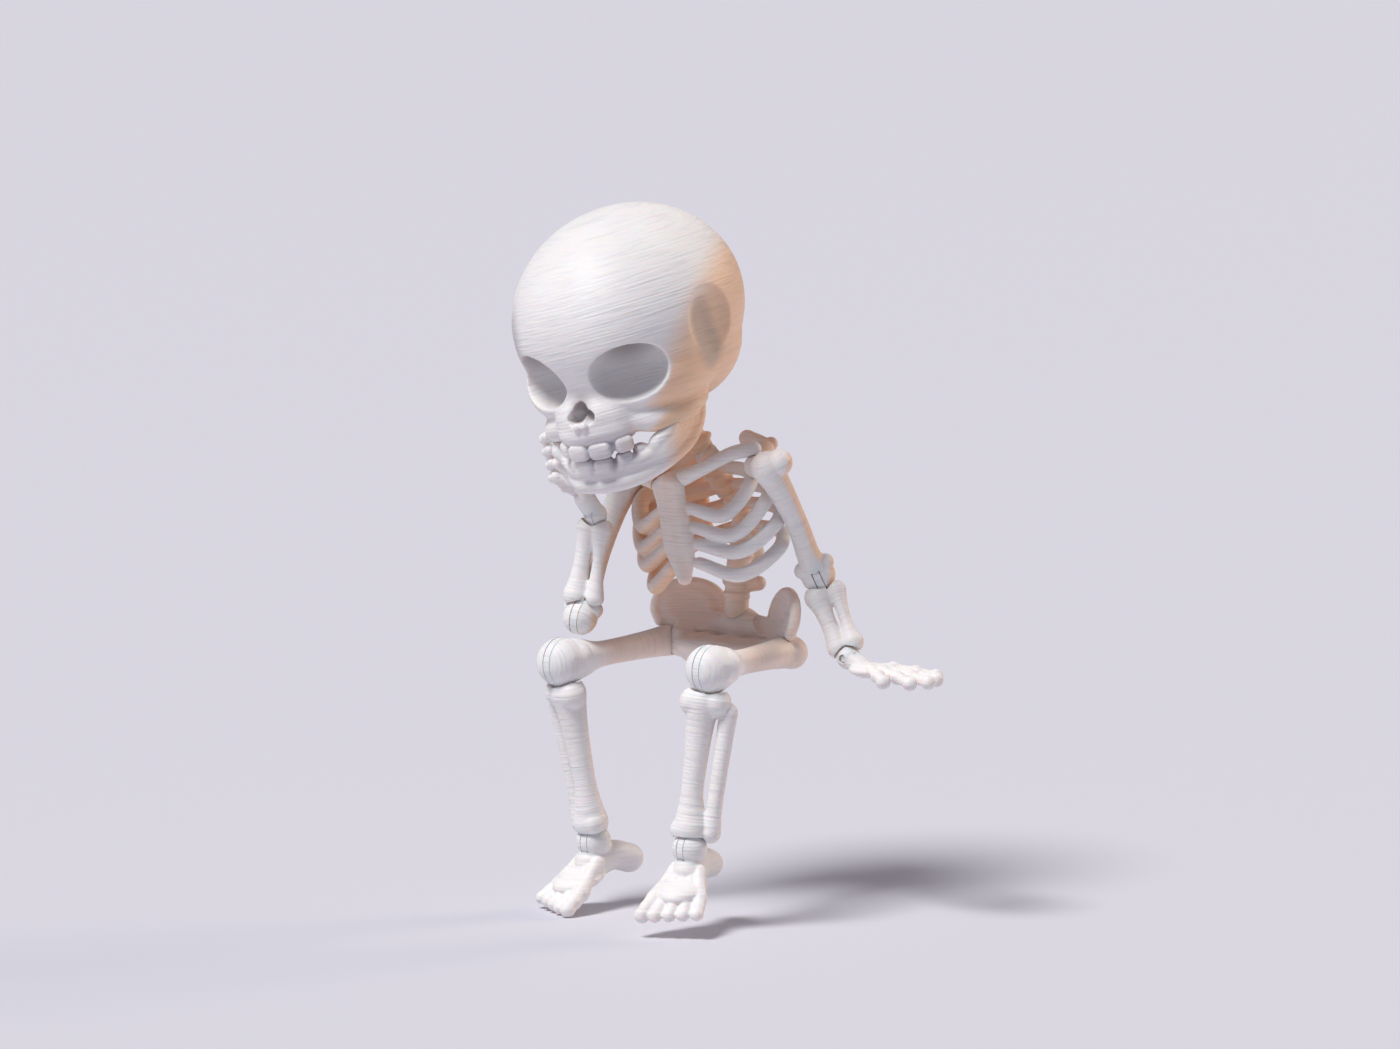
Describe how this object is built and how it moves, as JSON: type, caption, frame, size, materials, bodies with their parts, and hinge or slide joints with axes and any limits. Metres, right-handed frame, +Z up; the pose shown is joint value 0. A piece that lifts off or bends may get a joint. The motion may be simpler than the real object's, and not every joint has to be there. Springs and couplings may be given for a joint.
{
  "type": "skeleton figurine",
  "caption": "Seated skeleton figurine with a big skull, resting its cheek on one fist, with hinged arms and legs; sits on an edge.",
  "frame": {"origin": "on the flat underside of the pelvis, in the plane that the figurine sits on, below the spine", "axes": "+Z up, the figurine looks towards -Y, and its own left side is +X"},
  "size_m": [0.0511, 0.0355, 0.0881],
  "materials": {
    "bone": "matt printed plastic with fine layer lines, slightly translucent",
    "pin": "matt round stock"
  },
  "bodies": {
    "root": {"chest_pin": "pin", "left_collarbone": "bone", "left_hip_pin": "pin", "left_knee_pin": "pin", "left_shoulder_blade": "bone", "left_shoulder_pin": "pin", "left_thigh": "bone", "lumbar_column": "bone", "neck_column": "bone", "neck_pin": "pin", "pelvis": "bone", "rib_cage": "bone", "right_collarbone": "bone", "right_elbow_pin": "pin", "right_hip_pin": "pin", "right_knee_pin": "pin", "right_shoulder_blade": "bone", "right_shoulder_pin": "pin", "right_thigh": "bone", "right_upper_arm": "bone", "waist_pin": "pin"},
    "head": {"cranium": "bone", "jaw": "bone", "left_jaw_pin": "pin", "right_jaw_pin": "pin"},
    "left_arm": {"left_upper_arm": "bone", "left_elbow_pin": "pin"},
    "left_lower_arm": {"left_forearm": "bone"},
    "left_palm": {"left_hand": "bone", "left_wrist_pin": "pin"},
    "right_lower_arm": {"right_forearm": "bone"},
    "right_fist": {"right_hand": "bone", "right_wrist_pin": "pin"},
    "left_lower_leg": {"left_shin": "bone"},
    "left_sole": {"left_foot": "bone", "left_ankle_pin": "pin"},
    "right_lower_leg": {"right_shin": "bone"},
    "right_sole": {"right_foot": "bone", "right_ankle_pin": "pin"}
  },
  "joints": [
    {"name": "neck_nod", "type": "hinge", "parent": "root", "child": "head", "pos_m": [-0.0042, -0.0063, 0.0336], "axis": [1, 0, 0], "range_deg": [-20, 0]},
    {"name": "left_shoulder_swing", "type": "hinge", "parent": "root", "child": "left_arm", "pos_m": [0.0105, -0.0056, 0.0262], "axis": [0.9117, -0.4052, 0.0675], "range_deg": [0, 25]},
    {"name": "left_elbow_bend", "type": "hinge", "parent": "left_arm", "child": "left_lower_arm", "pos_m": [0.012, 0.0029, 0.012], "axis": [0.7689, 0.5095, 0.3862], "range_deg": [-35, 35]},
    {"name": "left_wrist_bend", "type": "hinge", "parent": "left_lower_arm", "child": "left_palm", "pos_m": [0.0178, 0.0015, 0.0023], "axis": [0, 1, 0], "range_deg": [-20, 20]},
    {"name": "right_elbow_bend", "type": "hinge", "parent": "root", "child": "right_lower_arm", "pos_m": [-0.0116, -0.0149, 0.0066], "axis": [0.9667, 0.2293, -0.1135], "range_deg": [0, 35]},
    {"name": "right_wrist_bend", "type": "hinge", "parent": "right_lower_arm", "child": "right_fist", "pos_m": [-0.0105, -0.0132, 0.0194], "axis": [1, 0, 0], "range_deg": [-5, 20]},
    {"name": "left_knee_bend", "type": "hinge", "parent": "root", "child": "left_lower_leg", "pos_m": [0.0115, -0.0185, 0.0027], "axis": [1, 0, 0], "range_deg": [-70, 5]},
    {"name": "left_ankle_bend", "type": "hinge", "parent": "left_lower_leg", "child": "left_sole", "pos_m": [0.0102, -0.0209, -0.0194], "axis": [1, 0, 0], "range_deg": [-20, 20]},
    {"name": "right_knee_bend", "type": "hinge", "parent": "root", "child": "right_lower_leg", "pos_m": [-0.0115, -0.0189, 0.0015], "axis": [1, 0, 0], "range_deg": [-70, 5]},
    {"name": "right_ankle_bend", "type": "hinge", "parent": "right_lower_leg", "child": "right_sole", "pos_m": [-0.009, -0.0156, -0.0212], "axis": [1, 0, 0], "range_deg": [-20, 20]}
  ]
}
